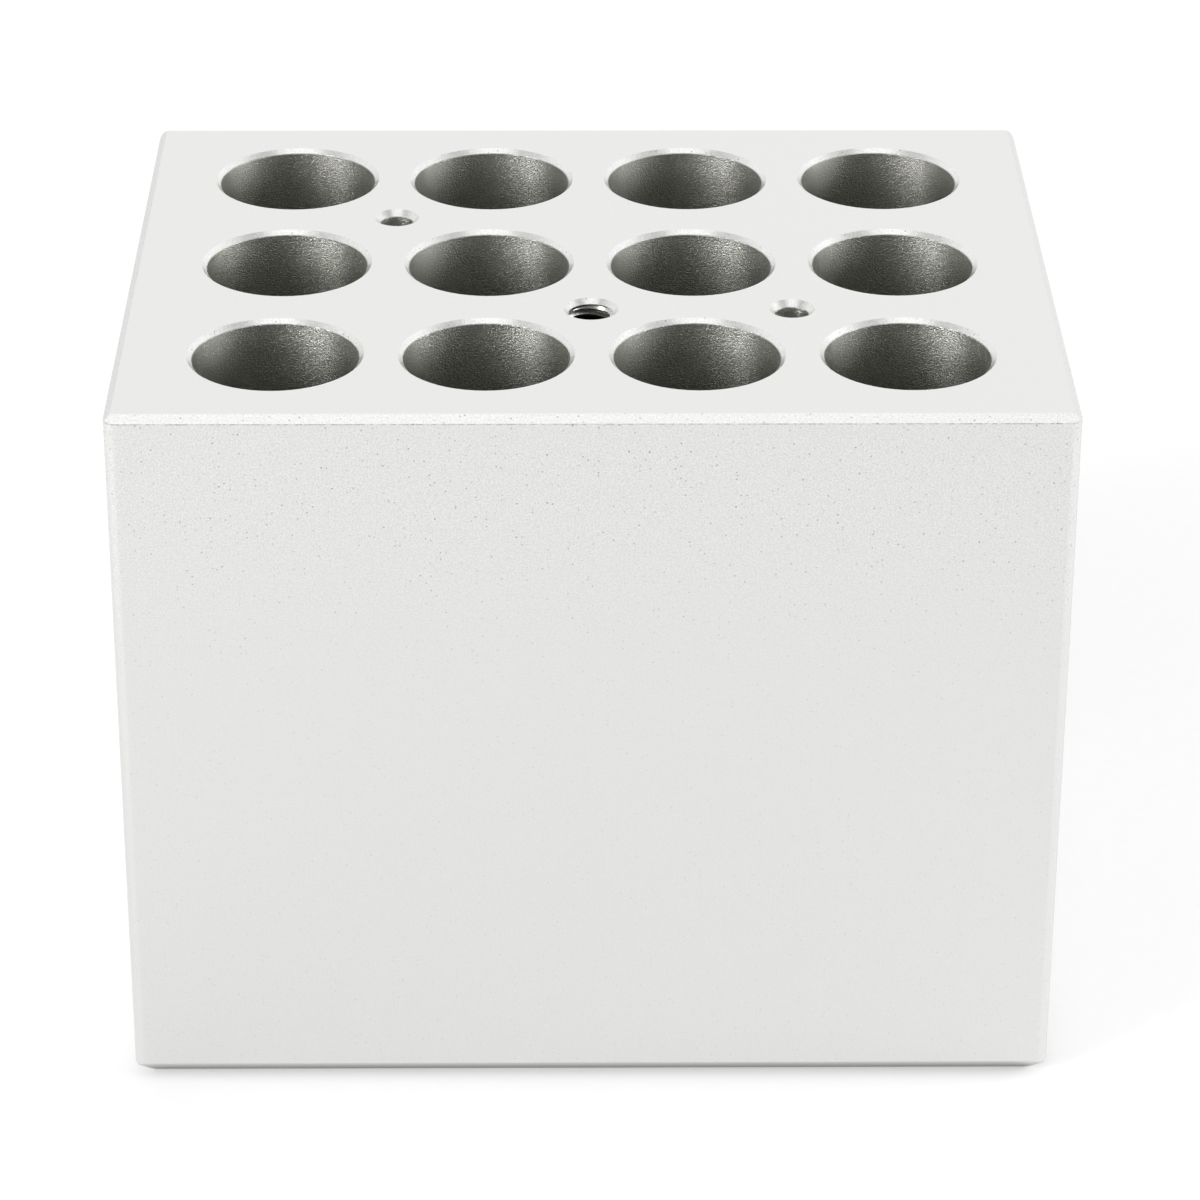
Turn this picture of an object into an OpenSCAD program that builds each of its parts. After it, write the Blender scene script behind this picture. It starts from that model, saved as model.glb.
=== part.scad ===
// Heat block insert for a dry bath.
// One solid block of aluminium with twelve wells for 15 ml conical tubes,
// two probe holes and a tapped hole for a lifting rod.
// The origin is the middle of the underside. The wells open upwards, and the
// rows of four run along X.

/* [Block] */
// Width of the block, along a row of wells
block_w = 95.25; // [94:0.05:120]
// Depth of the block, front to back
block_d = 76.2; // [75:0.05:110]
// Height of the block
block_h = 76.2; // [75:0.1:110]
// Radius on the four upright edges
upright_edge_r = 1.2; // [0.4:0.1:3]
// Bevel around the top face
top_bevel = 0.75; // [0.3:0.05:2]
// Bevel around the underside, which leads the block into the bath
foot_bevel = 1.85; // [0.5:0.05:4]

/* [Tube wells] */
// Spacing of the wells along a row
well_pitch_x = 21.05; // [20.5:0.05:22.5]
// Spacing of the rows, front to back
well_pitch_y = 23.2; // [20.5:0.05:24]
// Diameter of the straight wall
well_d = 16.7; // [12:0.05:17.5]
// Depth from the top face to the tip
well_depth = 68; // [40:0.5:70]
// Height of the taper that holds the tube's cone
taper_h = 22; // [8:0.5:30]
// Diameter of the flat tip below the taper
tip_d = 5; // [2:0.1:8]
// Bevel around the mouth
well_bevel = 0.5; // [0.2:0.05:1]

/* [Small holes] */
// How far each probe hole sits inwards from the middle of its four wells
probe_shift_x = 0.55; // [-1:0.05:1]
// How far the small holes sit outwards from the middle of their four wells
small_hole_shift_y = 0.5; // [-1:0.05:1]
// Diameter of a probe hole
probe_d = 3.4; // [2:0.1:4.4]
// Depth of a probe hole to its full diameter
probe_depth = 45; // [10:1:60]
// Diameter of a probe hole's countersink
probe_sink_d = 4.7; // [4.6:0.1:6]

/* [Lifting thread] */
// Outside diameter of the thread
thread_d = 4.83; // [4.2:0.01:5.2]
// Pitch of the thread
thread_pitch = 1.06; // [0.8:0.01:1.3]
// Depth of the thread from the top face
thread_depth = 12; // [6:0.5:16]
// Diameter of the hole drilled for the tap
tap_drill_d = 3.9; // [3.2:0.05:4]
// How far that hole goes on below the thread, to its full diameter
drill_run_on = 4; // [2:0.5:10]
// Diameter of the countersink above the thread
thread_sink_d = 5.6; // [5.4:0.1:6.4]
// Height of the short plain bore between that countersink and the thread
relief_h = 0.35; // [0.2:0.05:1]
// How much of the thread's depth that bore clears away
relief_share = 0.75; // [0.6:0.05:0.9]

/* [Hidden] */

// The small holes sit in the gaps of this pattern, so its counts are fixed.
well_columns = 4;
well_rows = 3;
well_places = [for (row = [0 : well_rows - 1], column = [0 : well_columns - 1])
    [(column - (well_columns - 1) / 2) * well_pitch_x,
     (row - (well_rows - 1) / 2) * well_pitch_y]];

// The lifting thread is in the middle gap, next to the front row. The probe
// holes are in the two outer gaps, in opposite corners of the pattern.
probe_x = (well_columns / 2 - 1) * well_pitch_x - probe_shift_x;
small_hole_y = well_pitch_y / 2 + small_hole_shift_y;
probe_places = [[-probe_x, small_hole_y], [probe_x, -small_hole_y]];
thread_place = [0, -small_hole_y];

drill_point_angle = 118;
thread_flank_angle = 60;
// Cutters stand this far out of the faces they open.
over = 1;
$fn = 96;

// ---- Block ----

module block_outline() {
    square([block_w - 2 * upright_edge_r, block_d], center = true);
    square([block_w, block_d - 2 * upright_edge_r], center = true);
    for (side = [-1, 1], end = [-1, 1])
        translate([side * (block_w / 2 - upright_edge_r), end * (block_d / 2 - upright_edge_r)])
            circle(r = upright_edge_r);
}

// The block seen square on, with both bevels. width is across the view.
module bevelled_view(width) {
    half = width / 2;
    polygon([
        [-half + foot_bevel, 0], [half - foot_bevel, 0],
        [half, foot_bevel], [half, block_h - top_bevel],
        [half - top_bevel, block_h], [-half + top_bevel, block_h],
        [-half, block_h - top_bevel], [-half, foot_bevel]
    ]);
}

// The solid common to the outlines from above, from the front and from the
// side: each bevel is a true plane, and they meet in mitres at the corners.
module blank_block() {
    intersection() {
        linear_extrude(block_h) block_outline();
        rotate([90, 0, 0])
            linear_extrude(block_d + 2 * over, center = true) bevelled_view(block_w);
        rotate([90, 0, 90])
            linear_extrude(block_w + 2 * over, center = true) bevelled_view(block_d);
    }
}

// ---- Cutters, each with the top face of the block at z = 0 ----

// Half a section through a well: flat tip, taper, straight wall, mouth bevel.
module well_cutter() {
    wall_r = well_d / 2;
    rotate_extrude()
        polygon([
            [0, -well_depth], [tip_d / 2, -well_depth],
            [wall_r, taper_h - well_depth], [wall_r, -well_bevel],
            [wall_r + well_bevel + over, over], [0, over]
        ]);
}

// A drilled blind hole with its drill point and a 90 degree countersink.
// depth is to the full diameter.
module drilled_hole(d, depth, sink_d) {
    wall_r = d / 2;
    sink_h = (sink_d - d) / 2;
    rotate_extrude()
        polygon([
            [0, -depth - drill_point_h(wall_r)], [wall_r, -depth], [wall_r, -sink_h],
            [wall_r + sink_h + over, over], [0, over]
        ]);
}

function drill_point_h(r) = r / tan(drill_point_angle / 2);

// The hole for the tap: drilled, with a shallow plain bore and a countersink
// that clear the start of the thread.
module tapping_hole() {
    depth = thread_depth + drill_run_on;
    wall_r = tap_drill_d / 2;
    relief_r = crest_r + relief_share * (root_r - crest_r);
    sink_h = thread_sink_d / 2 - relief_r;
    shoulder_h = sink_h + relief_h;
    rotate_extrude()
        polygon([
            [0, -depth - drill_point_h(wall_r)], [wall_r, -depth],
            [wall_r, -shoulder_h], [relief_r, -shoulder_h], [relief_r, -sink_h],
            [relief_r + sink_h + over, over], [0, over]
        ]);
}

// ---- Thread ----

thread_facets = 24;
// The crests clear the drilled wall, so that no facet lies on it.
crest_r = tap_drill_d / 2 / cos(180 / thread_facets) + 0.01;
root_r = thread_d / 2;
half_root_flat = thread_pitch / 16;
flank_h = (root_r - crest_r) * tan(thread_flank_angle / 2);
// One groove from bottom to top: [share of the full thread depth, height].
groove = [
    [0, -half_root_flat - flank_h], [1, -half_root_flat],
    [1, half_root_flat], [0, half_root_flat + flank_h]
];
// The groove runs out over this much of its lowest turn.
run_out_turns = 0.5;
first_groove_z = thread_pitch - thread_depth;
thread_turns = ceil((thread_depth - thread_pitch) / thread_pitch);
thread_top_z = first_groove_z + (thread_turns + 1) * thread_pitch;

function groove_r(share, turn) =
    crest_r + share * (root_r - crest_r) * min(1, turn / run_out_turns);

// [radius, z] of the cutter's surface at one of its upright lines. Each line
// has the grooves a little higher than the line before it.
function thread_line(facet) = [
    [crest_r, -thread_depth],
    for (whole_turn = [0 : thread_turns - 1], corner = groove)
        let (turn = whole_turn + facet / thread_facets)
        [groove_r(corner[0], turn), first_groove_z + turn * thread_pitch + corner[1]],
    [crest_r, thread_top_z]
];

// The tap as a solid with the full core, wrapped around the axis line by line.
module thread_cutter() {
    per_turn = len(groove);
    per_line = per_turn * thread_turns + 2;
    top = per_line - 1;
    last = (thread_facets - 1) * per_line;
    points = [for (facet = [0 : thread_facets - 1], p = thread_line(facet))
        let (angle = facet * 360 / thread_facets)
        [p[0] * cos(angle), p[0] * sin(angle), p[1]]];
    walls = [for (facet = [0 : thread_facets - 2], i = [0 : top - 1])
        let (a = facet * per_line + i, b = a + per_line)
        each [[a, a + 1, b + 1], [a, b + 1, b]]];
    // The last line joins the first one a whole turn higher up, so fans fill
    // the ends of this strip.
    seam = [
        for (i = [0 : per_turn]) [last, i + 1, i],
        [last, last + 1, per_turn + 1],
        for (i = [1 : top - 2 - per_turn]) let (a = last + i, b = i + per_turn)
            each [[a, a + 1, b + 1], [a, b + 1, b]],
        for (i = [top - 1 - per_turn : top - 1]) [last + i, last + i + 1, top],
        [last + top - 1 - per_turn, top, top - 1]
    ];
    lids = [
        [for (facet = [0 : thread_facets - 1]) facet * per_line],
        [for (facet = [thread_facets - 1 : -1 : 0]) facet * per_line + top]
    ];
    polyhedron(points, concat(walls, seam, lids));
}

// ---- The part ----

module heat_block() {
    color([0.86, 0.86, 0.85])
    difference() {
        blank_block();
        for (place = well_places)
            translate([place[0], place[1], block_h]) well_cutter();
        for (place = probe_places)
            translate([place[0], place[1], block_h])
                drilled_hole(probe_d, probe_depth, probe_sink_d);
        translate([thread_place[0], thread_place[1], block_h]) {
            tapping_hole();
            thread_cutter();
        }
    }
}

heat_block();
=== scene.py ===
# %% [markdown]
# # Heat block insert
# A dry bath warms tubes in a loose block of aluminium that drops into its heated
# pocket. This block is sawn from bar, milled square, drilled with twelve wells for
# conical tubes, blasted with fine beads and clear anodised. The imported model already
# holds its true shape, bevels and thread, so this scene only gives it its finish, its
# light and its picture.

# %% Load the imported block
import math

import bpy
from mathutils import Matrix, Vector


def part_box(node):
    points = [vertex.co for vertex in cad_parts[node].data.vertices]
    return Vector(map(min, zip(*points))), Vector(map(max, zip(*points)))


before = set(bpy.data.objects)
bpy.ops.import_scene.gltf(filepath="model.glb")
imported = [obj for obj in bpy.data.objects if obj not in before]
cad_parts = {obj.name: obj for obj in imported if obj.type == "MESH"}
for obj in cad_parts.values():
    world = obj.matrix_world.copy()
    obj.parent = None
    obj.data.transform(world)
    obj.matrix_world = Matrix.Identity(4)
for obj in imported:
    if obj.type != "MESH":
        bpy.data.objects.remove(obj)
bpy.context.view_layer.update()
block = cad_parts["heat_block"]
low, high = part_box("heat_block")
MM = 0.001
top = high.z / MM
print("block", [round(size / MM, 2) for size in high - low], "mm")

# %% [markdown]
# ## Camera
# A product picture of a plain block is taken with a long lens from in front and a
# little above, so that the upright edges lean in only slightly. A lens of 136 mm from
# half a metre does that. Its aim could be a Track To constraint, but three turns
# written out keep the small lean of a hand-set tripod.

# %% Camera
def aim(down, side, roll):
    """Rotation of a camera that looks along +Y, turned by these degrees."""
    down, side, roll = (math.radians(turn) for turn in (down, side, roll))
    right = Vector((math.cos(side), math.sin(side), 0))
    ahead = Vector((-math.sin(side) * math.cos(down),
                    math.cos(side) * math.cos(down), -math.sin(down)))
    up = right.cross(ahead)
    rolled_right = math.cos(roll) * right + math.sin(roll) * up
    rolled_up = -math.sin(roll) * right + math.cos(roll) * up
    return Matrix((rolled_right, rolled_up, -ahead)).transposed()


SENSOR, FOCAL, NEAREST = 36, 136.04, 0.01
STAND = (-4.02, -436.37, 262.28)  # in millimetres, from the middle of the foot

lens = bpy.data.cameras.new("lens")
lens.sensor_width = SENSOR
lens.lens = FOCAL
lens.clip_start = NEAREST
camera = bpy.data.objects.new("camera", lens)
bpy.context.scene.collection.objects.link(camera)
turned = aim(down=27.356, side=-0.682, roll=0.215).to_4x4()
camera.matrix_world = Matrix.Translation(Vector(STAND) * MM) @ turned
bpy.context.scene.camera = camera
bpy.context.scene.view_settings.view_transform = "Standard"
print("camera", FOCAL, "mm lens at", [round(c, 3) for c in camera.location])

# %% [markdown]
# ## Building shaders
# A finish is a graph of nodes. Wiring it by hand in code gets long, so a small helper
# adds a node and joins it up in one call, and each finish then reads as a recipe.

# %% Node helper
class Recipe:
    """Adds nodes to one tree and joins them up."""

    def __init__(self, tree):
        self.tree = tree

    def node(self, kind, inputs=(), **settings):
        made = self.tree.nodes.new(kind)
        for key, value in settings.items():
            setattr(made, key, value)
        for socket, value in dict(inputs).items():
            self.feed(value, made.inputs[socket])
        return made

    def feed(self, value, socket):
        if isinstance(value, bpy.types.NodeSocket):
            self.tree.links.new(value, socket)
        else:
            socket.default_value = value

    def math(self, operation, *values, clamp=False):
        return self.node("ShaderNodeMath", enumerate(values),
                         operation=operation, use_clamp=clamp).outputs[0]

    def vector(self, operation, *values):
        return self.node("ShaderNodeVectorMath", enumerate(values),
                         operation=operation).outputs[0]

    def fade(self, value, start, end, first=0.0, last=1.0):
        """Goes smoothly from first to last while value goes from start to end."""
        return self.node("ShaderNodeMapRange",
                         enumerate((value, start, end, first, last)),
                         interpolation_type="SMOOTHSTEP").outputs[0]

    def blend(self, share, first, second):
        return self.node("ShaderNodeMix", {0: share, 6: first, 7: second},
                         data_type="RGBA").outputs[2]

    def noise(self, place, scale, detail):
        return self.node("ShaderNodeTexNoise",
                         {"Vector": place, "Scale": scale, "Detail": detail}).outputs[0]

    def bump(self, height, distance, normal=None):
        inputs = {"Height": height, "Distance": distance * MM, "Strength": 1.0}
        if normal:
            inputs["Normal"] = normal
        return self.node("ShaderNodeBump", inputs).outputs[0]


def new_group(name, inputs, outputs):
    """An empty node group with named sockets, its recipe, and its inputs and end."""
    group = bpy.data.node_groups.new(name, "ShaderNodeTree")
    for socket, default in inputs.items():
        kind = "NodeSocketFloat" if isinstance(default, float) else "NodeSocketVector"
        made = group.interface.new_socket(socket, in_out="INPUT", socket_type=kind)
        made.default_value = default
    for socket in outputs:
        group.interface.new_socket(socket, in_out="OUTPUT", socket_type="NodeSocketFloat")
    start = group.nodes.new("NodeGroupInput").outputs
    return group, Recipe(group), start, group.nodes.new("NodeGroupOutput").inputs

# %% [markdown]
# ## Bead blasting
# Fine glass beads, thrown at the milled block, beat its surface into tiny dimples. Up
# close it is mottled, with a dark pit here and there; the same dots also serve for
# bright painted glints in the wells. Noise gives the mottle, and a Voronoi texture
# gives the dots, because each of its cells has a centre to put a dot on and a colour of
# its own to draw lots with. A cell that draws a lot below the share gets a dot, which
# is stronger the lower its lot was. It is a group because the outside and the walls of
# the holes both need it, each in its way.

# %% Bead blast group
MOTTLE_DETAIL = 2.0

blast, make, given, result = new_group(
    "bead_blast",
    {"Place": (0.0, 0.0, 0.0), "Dimple": 0.3, "Dot gap": 0.9, "Dot size": 0.1, "Share": 0.5},
    ("Mottle", "Dots"))
size_of = make.math("DIVIDE", 1.0, given["Dimple"])
make.feed(make.noise(given["Place"], size_of, MOTTLE_DETAIL), result["Mottle"])
cells = make.node("ShaderNodeTexVoronoi", {
    "Vector": given["Place"], "Scale": make.math("DIVIDE", 1.0, given["Dot gap"])})
reach = make.math("MULTIPLY", cells.outputs["Distance"], given["Dot gap"])
dot = make.math("SUBTRACT", 1.0, make.math("DIVIDE", reach, given["Dot size"]), clamp=True)
lot = make.node("ShaderNodeSeparateColor", {0: cells.outputs["Color"]}).outputs[0]
drawn = make.math("SUBTRACT", 1.0, make.math("DIVIDE", lot, given["Share"]), clamp=True)
make.feed(make.math("MULTIPLY", dot, drawn), result["Dots"])
print("group", blast.name, "gives", [socket.name for socket in result][:-1])

# %% [markdown]
# ## Inside a hole
# The walls of the holes are drilled, and beads hardly reach them, so they are darker
# and keep the drill's marks. A face could be painted by hand, but the holes are on a
# plan, so the shader can work out where they are: this group is 1 within a radius of
# a centre, as seen from above, and 0 outside it.

# %% Round hole group
round_hole, make, given, result = new_group(
    "round_hole", {"Place": (0.0, 0.0, 0.0), "Centre": (0.0, 0.0, 0.0), "Radius": 1.0},
    ("Inside",))
offset = make.vector("MULTIPLY", make.vector("SUBTRACT", given["Place"], given["Centre"]),
                     (1.0, 1.0, 0.0))
away = make.node("ShaderNodeVectorMath", {0: offset}, operation="LENGTH").outputs["Value"]
make.feed(make.math("LESS_THAN", away, given["Radius"]), result["Inside"])
print("group", round_hole.name, "gives", [socket.name for socket in result][:-1])

# %% [markdown]
# ## Places on the block
# One metal covers the whole block, but each part of it has been through something
# else, so the finish needs to know where it is. Everything is worked out from the
# place in millimetres. The twelve wells repeat at an even pitch, so folding the plan
# with a modulo makes one round hole stand for all of them. What doesn't face squarely
# along an axis is a bevel or a rounded corner, so the true normal finds the edges.

# %% Places on the block
COLUMNS, ROWS, WELL_PITCH = 4, 3, (21.05, 23.2)
WELL_RADIUS, PROBE_RADIUS, THREAD_RADIUS = 8.41, 1.76, 2.5
PROBE_PLACE, THREAD_PLACE = (20.5, 12.1), (0, -12.1)
RIM_WIDTH, SINK_DEPTH = 0.5, 0.52
SQUARE = 0.985

finish = bpy.data.materials.new("clear_anodised_aluminium")
finish.use_nodes = True
finish.node_tree.nodes.clear()
make = Recipe(finish.node_tree)


def use(group, output, **inputs):
    """Places a group in the finish and returns one of its outputs."""
    placed = make.node("ShaderNodeGroup", node_tree=group)
    for socket, value in inputs.items():
        make.feed(value, placed.inputs[socket.replace("_", " ")])
    return placed.outputs[output]


def fold(value, pitch, shift):
    """Repeats a coordinate, so that every pitch has its own zero."""
    moved = make.math("ADD", value, shift)
    return make.math("SUBTRACT", make.math("FLOORED_MODULO", moved, pitch), pitch / 2)


def within(value, limit):
    return make.math("LESS_THAN", make.math("ABSOLUTE", value), limit)


own = make.node("ShaderNodeTexCoord").outputs["Object"]
place = make.node("ShaderNodeVectorMath", {0: own, "Scale": 1 / MM},
                  operation="SCALE").outputs[0]
x, y, z = make.node("ShaderNodeSeparateXYZ", {0: place}).outputs
depth = make.math("SUBTRACT", top, z)
folded = make.node("ShaderNodeCombineXYZ", {
    0: fold(x, WELL_PITCH[0], 0.0),
    1: fold(y, WELL_PITCH[1], WELL_PITCH[1] / 2), 2: z}).outputs[0]
in_plan = make.math("MULTIPLY", within(x, COLUMNS / 2 * WELL_PITCH[0]),
                    within(y, ROWS / 2 * WELL_PITCH[1]))
wells = make.math("MULTIPLY", in_plan, use(
    round_hole, "Inside", Place=folded, Radius=WELL_RADIUS))
rims = make.math("MULTIPLY", in_plan, use(
    round_hole, "Inside", Place=folded, Radius=WELL_RADIUS + RIM_WIDTH))
probes = make.math("MAXIMUM", *(
    use(round_hole, "Inside", Place=place, Radius=PROBE_RADIUS,
        Centre=(side * PROBE_PLACE[0], -side * PROBE_PLACE[1], 0)) for side in (-1, 1)))
wall = make.math("MAXIMUM", wells, probes)
thread = make.math("MULTIPLY", make.math("GREATER_THAN", depth, SINK_DEPTH), use(
    round_hole, "Inside", Place=place, Centre=(*THREAD_PLACE, 0), Radius=THREAD_RADIUS))
outside = make.math("SUBTRACT", 1.0, make.math("MAXIMUM", wall, thread))
facing = make.vector("ABSOLUTE", make.node("ShaderNodeNewGeometry").outputs["True Normal"])
across, along, upward = make.node("ShaderNodeSeparateXYZ", {0: facing}).outputs
squarely = make.math("MAXIMUM", make.math("MAXIMUM", across, along), upward)
edges = make.math("MULTIPLY", make.math("LESS_THAN", squarely, SQUARE), outside)
rims = make.math("MULTIPLY", rims, edges)
sides = make.math("MULTIPLY", make.math("LESS_THAN", upward, SQUARE), outside)
print("places for", finish.name, "take", len(finish.node_tree.nodes), "nodes")

# %% [markdown]
# ## Colour and roughness
# Clear anodising is a hard, glassy oxide that has no colour of its own, so the outside
# stays a pale neutral grey. In the holes the bath wets the metal less well, and the
# walls come out darker and slightly olive. On top of that, the walls are painted darker
# the further down they go, as painted shade in the hole. The colour is laid over itself
# from the outside in, each layer with its mask. The edges are broken last, with a fine
# tool, and mirror more sharply than the blasted faces. The rims of the wells are painted
# a little lighter than the outside, as a painted highlight. The thread is cut clean
# after everything else, and below its first turn it is painted near black, as painted
# shade deep in the hole.

# %% Colour and roughness
OUTSIDE = (0.76, 0.76, 0.752, 1)
MOUTH = (0.5, 0.5, 0.46, 1)
WALL = (0.385, 0.385, 0.34, 1)
# Painted shade: the walls of the wells are painted darker the further down they go.
WALL_PAINTED_SHADE = (0.25, 0.25, 0.205, 1)
MOUTH_START, WALL_START, PAINTED_SHADE_START = 0.5, 5.0, 12.0
# Painted highlight: the rims of the wells are painted lighter than the outside.
RIM_PAINTED_HIGHLIGHT = (0.8, 0.8, 0.792, 1)
# Painted shade: the thread is painted near black below its first turn.
THREAD, THREAD_PAINTED_SHADE = (0.72, 0.72, 0.69, 1), (0.06, 0.06, 0.055, 1)
TURN_START, TURN_END = 1.3, 1.8
OUT_ROUGH, EDGE_ROUGH, WALL_ROUGH, THREAD_ROUGH = 0.42, 0.28, 0.36, 0.27

# Painted shade: the wall colour darkens from the mouth down to the deep end of each hole.
inner = make.blend(make.fade(depth, MOUTH_START, WALL_START), MOUTH, WALL)
inner = make.blend(make.fade(depth, WALL_START, PAINTED_SHADE_START), inner, WALL_PAINTED_SHADE)
# Painted highlight on the rims of the wells.
colour = make.blend(rims, OUTSIDE, RIM_PAINTED_HIGHLIGHT)
# Painted shade: near black below the thread's first turn.
turns = make.blend(make.fade(depth, TURN_START, TURN_END), THREAD, THREAD_PAINTED_SHADE)
colour = make.blend(thread, make.blend(wall, colour, inner), turns)
rough = OUT_ROUGH
for mask, number in ((edges, EDGE_ROUGH), (wall, WALL_ROUGH), (thread, THREAD_ROUGH)):
    rough = make.node("ShaderNodeMix", {0: mask, 2: rough, 3: number},
                      data_type="FLOAT").outputs[0]
print("roughness outside", OUT_ROUGH, "edges", EDGE_ROUGH, "walls", WALL_ROUGH,
      "thread", THREAD_ROUGH)

# %% [markdown]
# ## Specks, pits and painted light
# The grain of the blasting shows most near the top, where the beads hit hardest, and
# hardly at all on the top face, which looks straight at the bright backdrop. Pits are
# dark because they hold shadow. Where the top bevel meets the sides, a thin ragged dark
# line is painted, as a painted reflection of the dark camera's side in that edge. The
# grain in the mouths of the wells shows mostly in the front row, as the nozzle stood
# there, and bright dots are painted there as painted glints. The foot is painted darker
# towards the floor, as painted shade where it mirrors the floor's contact shadow. All
# of it multiplies the colour.
# Bump alone could make the pits, but they are smaller than a pixel, where a normal
# averages out and a colour doesn't.

# %% Specks, pits and painted light
TOP_BEVEL = 0.75
SPECK_SIZE, SPECK, WALL_SPECK, LOW_SPECK = 0.17, 0.6, 0.8, 0.25
SPECK_START, SPECK_END = 5.0, 32.0
PIT_GAP, PIT_SIZE, PIT_SHARE, PIT = 0.5, 0.12, 0.42, 0.95
# Painted reflection: a thin ragged dark line where the top bevel meets the sides.
EDGE_LINE_WIDTH, EDGE_LINE_DARKNESS = 0.2, 0.45
RAGGED, RAGGED_DETAIL, GAP_LEVEL, WHOLE_LEVEL, EDGE_LINE_LEFT = 2.0, 3.0, 0.4, 0.6, 0.2
# Painted glints: bright dots in the mouths of the wells, brighter than the metal can be.
GLINT_GAP, GLINT_SIZE, GLINT_SHARE, GLINT = 0.26, 0.09, 0.9, 2.2
GLINT_START, GLINT_END, DEEP_GLINT = 0.8, 6.0, 0.2
MOUTH_TOP, MOUTH_LOW, DEEP_GRAIN = 1.0, 10.0, 0.25
FRONT_ROW, BACK_ROW, BACK_GRAIN = -12.0, 8.0, 0.3
# Painted shade: the foot darkens towards the floor.
FOOT_SHADE_HEIGHT, FOOT_PAINTED_SHADE = 2.1, 0.34

uneven = make.math("SUBTRACT", use(blast, "Mottle", Place=place, Dimple=SPECK_SIZE), 0.5)
pits = use(blast, "Dots", Place=place, Dot_gap=PIT_GAP, Dot_size=PIT_SIZE,
           Share=PIT_SHARE)
# Painted reflection: the dark line just below the top bevel, broken up by noise.
painted_edge_line = make.math("MULTIPLY", make.math("GREATER_THAN", depth, TOP_BEVEL),
                 make.fade(depth, TOP_BEVEL, TOP_BEVEL + EDGE_LINE_WIDTH, 1.0, 0.0))
ragged = make.noise(place, RAGGED, RAGGED_DETAIL)
painted_edge_line = make.math("MULTIPLY", painted_edge_line,
                 make.fade(ragged, GAP_LEVEL, WHOLE_LEVEL, EDGE_LINE_LEFT, 1.0))
change = make.math("MULTIPLY", uneven, SPECK)
change = make.math("SUBTRACT", change, make.math("MULTIPLY", pits, PIT))
change = make.math("SUBTRACT", change, make.math("MULTIPLY", painted_edge_line, EDGE_LINE_DARKNESS))
where = make.math("MULTIPLY", sides, make.fade(depth, SPECK_START, SPECK_END, 1.0, LOW_SPECK))
shade = make.math("ADD", 1.0, make.math("MULTIPLY", change, where))

# Painted glints in the mouths of the wells.
glint_dots = use(blast, "Dots", Place=place, Dot_gap=GLINT_GAP, Dot_size=GLINT_SIZE,
             Share=GLINT_SHARE)
rows = make.fade(y, FRONT_ROW, BACK_ROW, 1.0, BACK_GRAIN)
glint_strength = make.fade(depth, GLINT_START, GLINT_END, GLINT, DEEP_GLINT * GLINT)
change = make.math("ADD", make.math("MULTIPLY", uneven, WALL_SPECK),
                   make.math("MULTIPLY", glint_dots, glint_strength))
where = make.math("MULTIPLY", wells,
                  make.fade(depth, MOUTH_TOP, MOUTH_LOW, 1.0, DEEP_GRAIN))
where = make.math("MULTIPLY", where, rows)
shade = make.math("ADD", shade, make.math("MULTIPLY", change, where))
# Painted shade: the colour darkens towards the floor, where the foot mirrors its contact
# shadow.
shade = make.math("MULTIPLY", shade, make.fade(z, 0.0, FOOT_SHADE_HEIGHT, FOOT_PAINTED_SHADE, 1.0))
colour = make.node("ShaderNodeVectorMath", {0: colour, "Scale": shade},
                   operation="SCALE").outputs[0]
print("one pit in about", round(PIT_GAP ** 2 / PIT_SHARE, 1), "square millimetres")

# %% [markdown]
# ## Dimples and drill marks
# The dimples also tilt the surface, which softens what it mirrors. Outside they are
# shallow. In the wells, the drill's flutes leave marks that run round the wall, so
# there the same mottle is stretched sideways: that scatters the light of the lamps
# up and down in the hole, and gives each wall its bright upright streak. A bump is
# enough for both, because they are far too small to change an outline.

# %% Dimples and drill marks
DIMPLE, DIMPLE_DEPTH = 0.35, 0.02
STRETCH, MARK, MARK_DEPTH = 0.35, 0.08, 0.085
COARSE, COARSE_DEPTH = 0.2, 0.02

dimples = use(blast, "Mottle", Place=place, Dimple=DIMPLE)
normal = make.bump(make.math("MULTIPLY", dimples, outside), DIMPLE_DEPTH)
stretched = make.vector("MULTIPLY", place, (STRETCH, STRETCH, 1.0))
marks = use(blast, "Mottle", Place=stretched, Dimple=MARK)
normal = make.bump(make.math("MULTIPLY", marks, wall), MARK_DEPTH, normal)
coarse = use(blast, "Mottle", Place=place, Dimple=COARSE)
normal = make.bump(make.math("MULTIPLY", coarse, wall), COARSE_DEPTH, normal)
surface = make.node("ShaderNodeBsdfPrincipled", {
    "Base Color": colour, "Metallic": 1.0, "Roughness": rough, "Normal": normal})
make.node("ShaderNodeOutputMaterial", {"Surface": surface.outputs[0]})
block.material_slots[0].material = finish
print("finish", finish.name, "of", len(finish.node_tree.nodes), "nodes")

# %% [markdown]
# ## Floor
# The block stands on white paper. Under plain light such paper comes out light grey
# next to bright metal, so it glows a little for the camera and for what mirrors it,
# and stays plain paper for the light that it scatters. More lamps would whiten it too,
# but they would bleach the block. Its shadow stays, as lamplight is most of its tone.

# %% Floor
PAPER, GLOW = 0.62, 0.368
FIBRE, FIBRE_DETAIL, FIBRE_TONE = 400.0, 2.0, 0.01
HALF, DROP = 3.0, 0.1

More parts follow.
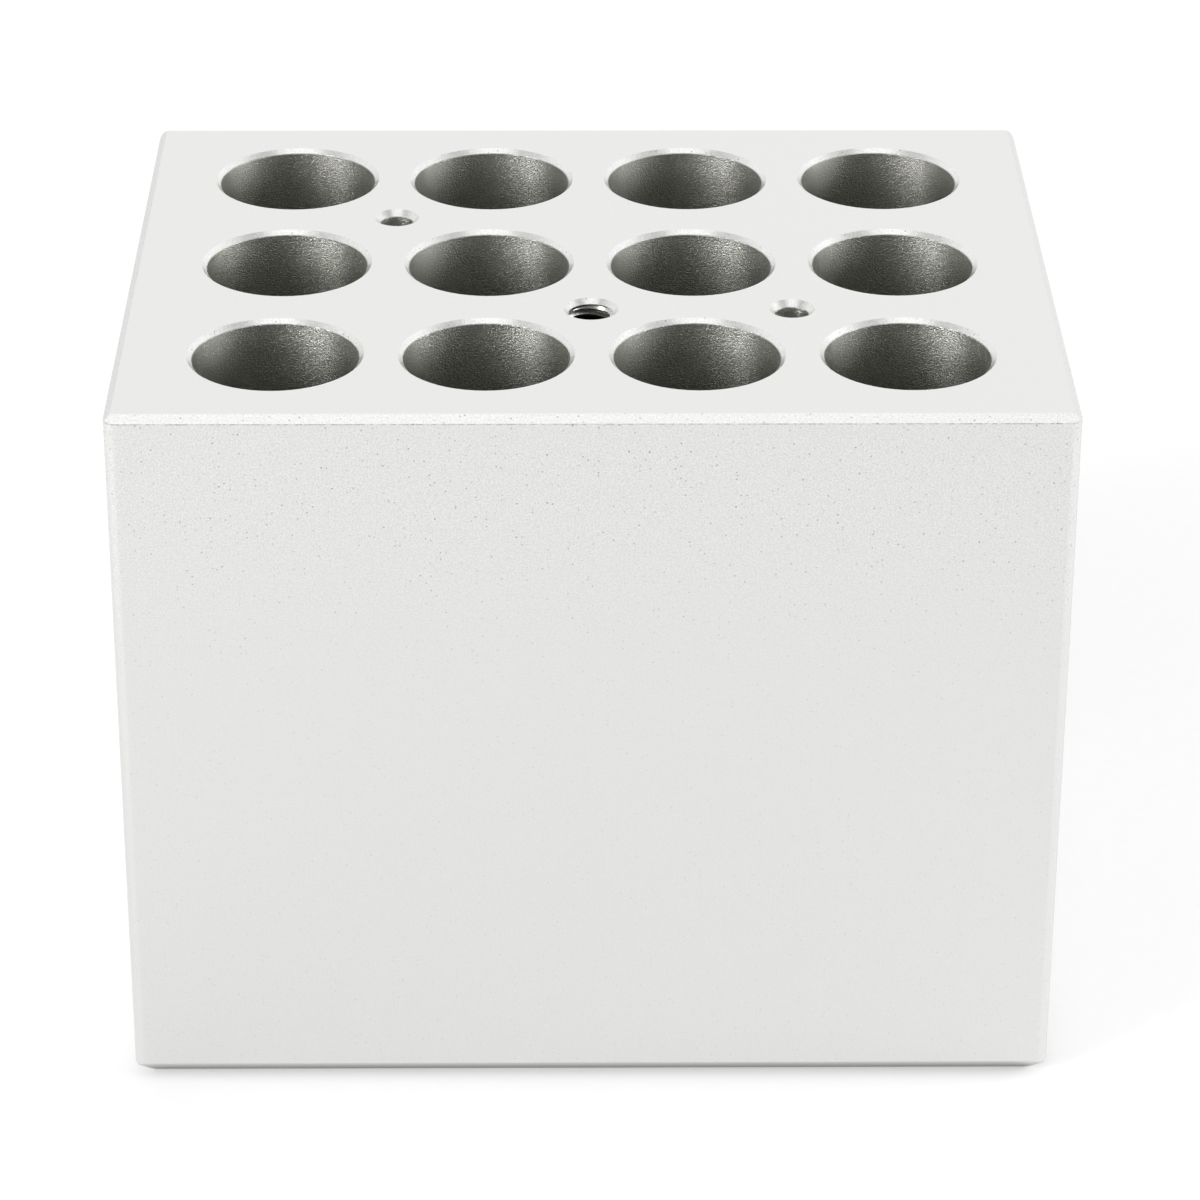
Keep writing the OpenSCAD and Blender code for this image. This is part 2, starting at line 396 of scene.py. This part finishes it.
paper = bpy.data.materials.new("white_paper")
paper.use_nodes = True
paper.node_tree.nodes.clear()
make = Recipe(paper.node_tree)
fibre = make.node("ShaderNodeTexCoord").outputs["Object"]
tone = make.blend(make.noise(fibre, FIBRE, FIBRE_DETAIL), *(
    (level, level, level, 1) for level in (PAPER - FIBRE_TONE, PAPER + FIBRE_TONE)))
rays = make.node("ShaderNodeLightPath").outputs
seen = make.math("ADD", make.math("ADD", rays["Is Camera Ray"], rays["Is Glossy Ray"]),
                 rays["Is Transmission Ray"], clamp=True)
card = make.node("ShaderNodeBsdfDiffuse", {"Color": tone})
glow = make.node("ShaderNodeEmission", {"Strength": make.math("MULTIPLY", seen, GLOW)})
both = make.node("ShaderNodeAddShader", {0: card.outputs[0], 1: glow.outputs[0]})
make.node("ShaderNodeOutputMaterial", {"Surface": both.outputs[0]})

sheet = bpy.data.meshes.new("floor")
sheet.from_pydata([(-HALF, -HALF, 0), (HALF, -HALF, 0), (HALF, HALF, 0), (-HALF, HALF, 0)],
                  [], [(0, 1, 2, 3)])
sheet.materials.append(paper)
floor = bpy.data.objects.new("floor", sheet)
floor.location.z = -DROP * MM
bpy.context.scene.collection.objects.link(floor)
print("floor at", round(floor.location.z / MM, 2), "mm, paper", PAPER, "glow", GLOW)

# %% [markdown]
# ## Studio
# Metal shows the room more than itself, so the room is what gets designed. It is pale,
# and less so at the horizon. The camera's side is dark, which keeps the block's
# edges readable. A bright ceiling above the front lights the front bevel and the far
# rims of the holes, and the backdrop's far side lights the top. Each is a soft lobe
# added to or taken from the level of the world. A picture of a studio could stand in
# for it, but lobes can be moved one at a time, and each has a reason.

# %% Studio
HORIZON, LOW_TOP = 0.7, 0.4
ZENITH, ZEN_START, ZEN_END = 0.4, 0.6, 0.95
DARK, DARK_START, DARK_END, DARK_SIDE = 0.1, 0.35, 0.9, 0.35
# Which way each lobe lies, the cosines where it starts and is full, and what it adds.
LOBES = {
    "far side": ((0, 0.87, 0.5), 0.6, 0.95, 0.2),
    "high front": ((0, -0.43, 0.9), 0.85, 0.98, 0.88),
    "low far right": ((0.45, 0.9, 0.1), 0.9, 0.99, 0.12),
    "high right": ((0.75, 0.15, 0.64), 0.8, 0.97, 0.04)}

world = bpy.data.worlds.new("studio")
bpy.context.scene.world = world
world.use_nodes = True
sky = world.node_tree.nodes["Background"]
make = Recipe(world.node_tree)
direction = make.node("ShaderNodeTexCoord").outputs["Generated"]


def towards(way, start, end, first, last):
    """Goes from first to last as a direction turns towards way."""
    along = make.node("ShaderNodeVectorMath", {0: direction, 1: Vector(way).normalized()},
                      operation="DOT_PRODUCT").outputs["Value"]
    return make.fade(along, start, end, first, last)


level = towards((0, 0, 1), 0.0, LOW_TOP, HORIZON, 1.0)
level = make.math("MULTIPLY", level, towards((0, 0, 1), ZEN_START, ZEN_END, 1.0, ZENITH))
level = make.math("MULTIPLY", level,
                  towards((DARK_SIDE, -1, 0), DARK_START, DARK_END, 1.0, DARK))
for way, start, end, strength in LOBES.values():
    level = make.math("ADD", level, towards(way, start, end, 0.0, strength))
make.feed((1, 1, 1, 1), sky.inputs["Color"])
make.feed(level, sky.inputs["Strength"])
print("world of", len(world.node_tree.nodes), "nodes, lit from the", ", ".join(LOBES))

# %% [markdown]
# ## Lamps
# Two softboxes stand low on both sides. From there they hardly show on the faces,
# which mirror the floor, but they reach down into the wells: the left one draws the
# bright streak on the far right of each wall, and the right one the paler band on the
# left. Area lights do this with soft edges, which a spot or a sun can't.

# %% Lamps
def softbox(name, bearing, height, distance, size, power):
    """An area light at a bearing and height in degrees, facing the block."""
    light = bpy.data.lights.new(name, "AREA")
    light.shape = "RECTANGLE"
    light.size, light.size_y = size
    light.energy = power
    made = bpy.data.objects.new(name, light)
    bearing, height = math.radians(bearing), math.radians(height)
    made.location = Vector((math.cos(bearing) * math.cos(height),
                            math.sin(bearing) * math.cos(height),
                            math.sin(height))) * distance + Vector((0, 0, top * MM))
    facing = Vector((0, 0, top * MM)) - made.location
    made.rotation_euler = facing.to_track_quat("-Z", "Y").to_euler()
    bpy.context.scene.collection.objects.link(made)
    print(name, "at", [round(c, 2) for c in made.location], "m,", power, "W")
    return made


softbox("left_softbox", bearing=215, height=19, distance=1.2, size=(0.4, 0.5), power=8.6)
softbox("right_softbox", bearing=2, height=14, distance=1.2, size=(0.8, 0.5), power=7.6)
